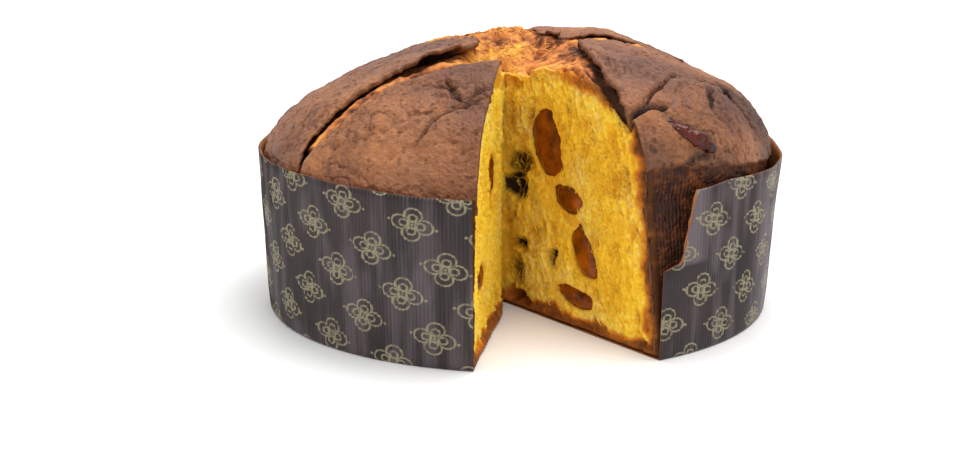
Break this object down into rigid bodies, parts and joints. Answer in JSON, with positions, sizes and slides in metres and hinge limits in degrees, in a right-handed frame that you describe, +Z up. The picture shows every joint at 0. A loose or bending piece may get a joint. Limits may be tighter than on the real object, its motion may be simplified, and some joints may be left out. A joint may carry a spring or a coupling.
{
  "type": "panettone",
  "caption": "Low round sweet bread with a torn domed crust, a wedge cut out that shows the yellow crumb and candied fruit, in its own printed paper case.",
  "frame": {"origin": "on the axis of the round paper case, on the surface that it stands on", "axes": "+Z up, -Y towards the side that the cut wedge opens to"},
  "size_m": [0.2063, 0.204, 0.1077],
  "materials": {
    "crust": "dry baked crust, matt with a faint sheen; stands in for bread",
    "crumb": "open yellow crumb, dry and matt; stands in for bread",
    "candied_fruit": "moist candied peel, glossy; stands in for fruit",
    "crust_fruit": "dark red-brown baked fruit, wet gloss; stands in for fruit",
    "case_paper": "thin pleated baking paper, printed purple-brown, soft sheen"
  },
  "bodies": {
    "root": {"loaf": "crust", "paper_case": "case_paper", "fruit_upper": "candied_fruit", "fruit_square": "candied_fruit", "fruit_crescent": "candied_fruit", "fruit_low": "candied_fruit", "fruit_left_high": "candied_fruit", "fruit_left_low": "candied_fruit", "fruit_crust": "crust_fruit"}
  },
  "joints": []
}
